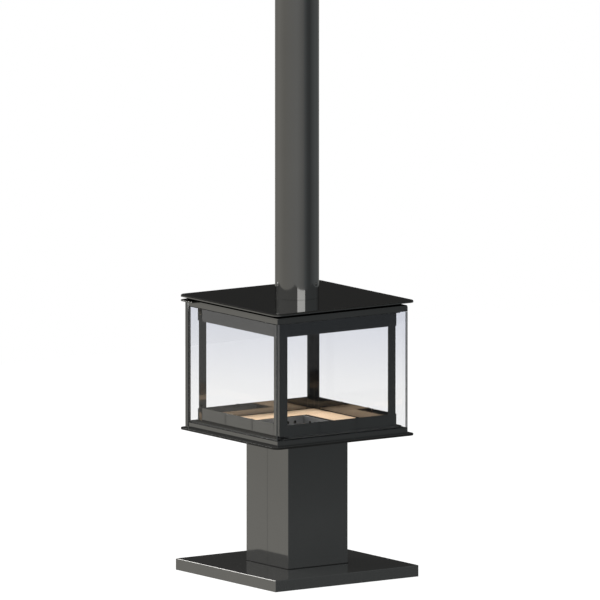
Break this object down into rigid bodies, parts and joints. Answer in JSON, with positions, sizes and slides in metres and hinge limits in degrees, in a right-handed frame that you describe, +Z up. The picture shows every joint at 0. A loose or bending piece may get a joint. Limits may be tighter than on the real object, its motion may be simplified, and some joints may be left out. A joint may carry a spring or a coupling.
{
  "type": "wood burning stove",
  "caption": "Pedestal wood burning stove: glass-sided square fire chamber with a hinged glass door on a square column and plinth, with a straight round flue pipe.",
  "frame": {"origin": "centre of the plinth's underside, on the floor", "axes": "+Z up along the flue; the glass door faces -Y and its hinge rod is at the front left corner (-X, -Y)"},
  "size_m": [0.605, 0.605, 2.088],
  "materials": {
    "grey_lacquer": "dark grey heat-proof lacquer with a satin gloss",
    "black_enamel": "black heat-proof enamel with a satin gloss",
    "mild_steel": "bare rolled steel with a dull blue-grey scale",
    "zinc_plate": "bright zinc plate",
    "cast_iron": "rough sand-cast",
    "refractory": "matt pressed refractory",
    "vermiculite": "matt pressed vermiculite board",
    "clear_glass": "clear polished ceramic glass",
    "seal_tape": "black woven glass-fibre tape",
    "black_spring_steel": "blackened steel",
    "black_knob": "heat-proof moulded knob"
  },
  "bodies": {
    "stove": {"base_plate": "mild_steel", "plinth_cover": "grey_lacquer", "plinth_spacers": "mild_steel", "support_tube": "mild_steel", "foot_bolts": "zinc_plate", "shell_rings": "mild_steel", "column_shell_left": "grey_lacquer", "column_shell_right": "grey_lacquer", "shell_screws": "zinc_plate", "air_box": "mild_steel", "floor_plate": "black_enamel", "lower_bar_front": "grey_lacquer", "lower_bar_right": "grey_lacquer", "lower_bar_back": "grey_lacquer", "lower_bar_left": "grey_lacquer", "hearth_slab_front": "refractory", "hearth_slab_right": "refractory", "hearth_slab_back": "refractory", "hearth_slab_left": "refractory", "fire_basket": "mild_steel", "jamb_post": "grey_lacquer", "post_right": "grey_lacquer", "post_back": "grey_lacquer", "post_hinge_side": "grey_lacquer", "lower_rail_right": "grey_lacquer", "lower_rail_back": "grey_lacquer", "lower_rail_left": "grey_lacquer", "upper_rail_right": "grey_lacquer", "upper_rail_back": "grey_lacquer", "upper_rail_left": "grey_lacquer", "glass_right": "clear_glass", "glass_back": "clear_glass", "glass_left": "clear_glass", "hinge_pins": "grey_lacquer", "rail_clips": "black_spring_steel", "pane_seals": "seal_tape", "upper_bar_front": "grey_lacquer", "upper_bar_right": "grey_lacquer", "upper_bar_back": "grey_lacquer", "upper_bar_left": "grey_lacquer", "roof_plate": "grey_lacquer", "magnet_catch": "black_spring_steel", "baffle_plate": "vermiculite", "baffle_hangers": "zinc_plate", "top_spacers": "grey_lacquer", "roof_screws": "zinc_plate", "top_plate": "grey_lacquer", "flue_collar": "mild_steel", "flue_pipe": "grey_lacquer"},
    "door": {"door_lower_rail": "grey_lacquer", "door_upper_rail": "grey_lacquer", "door_glass": "clear_glass", "hinge_rod": "grey_lacquer", "door_clips": "black_spring_steel", "door_seals": "seal_tape"},
    "air_control": {"air_slide": "zinc_plate", "air_rod": "zinc_plate", "air_knob": "black_knob"},
    "ash_pan": {"ash_pan": "mild_steel"},
    "grate": {"grate": "cast_iron"}
  },
  "joints": [
    {"name": "door_hinge", "type": "hinge", "parent": "stove", "child": "door", "pos_m": [-0.272, -0.272, 0.7], "axis": [0, 0, -1], "range_deg": [0, 110]},
    {"name": "air_control_slide", "type": "slide", "parent": "stove", "child": "air_control", "axis": [0, 1, 0], "range_m": [0, 0.025]},
    {"name": "ash_pan_lift", "type": "slide", "parent": "stove", "child": "ash_pan", "axis": [0, 0, 1], "range_m": [0, 0.13]},
    {"name": "grate_lift", "type": "slide", "parent": "ash_pan", "child": "grate", "axis": [0, 0, 1], "range_m": [0, 0.13]}
  ]
}
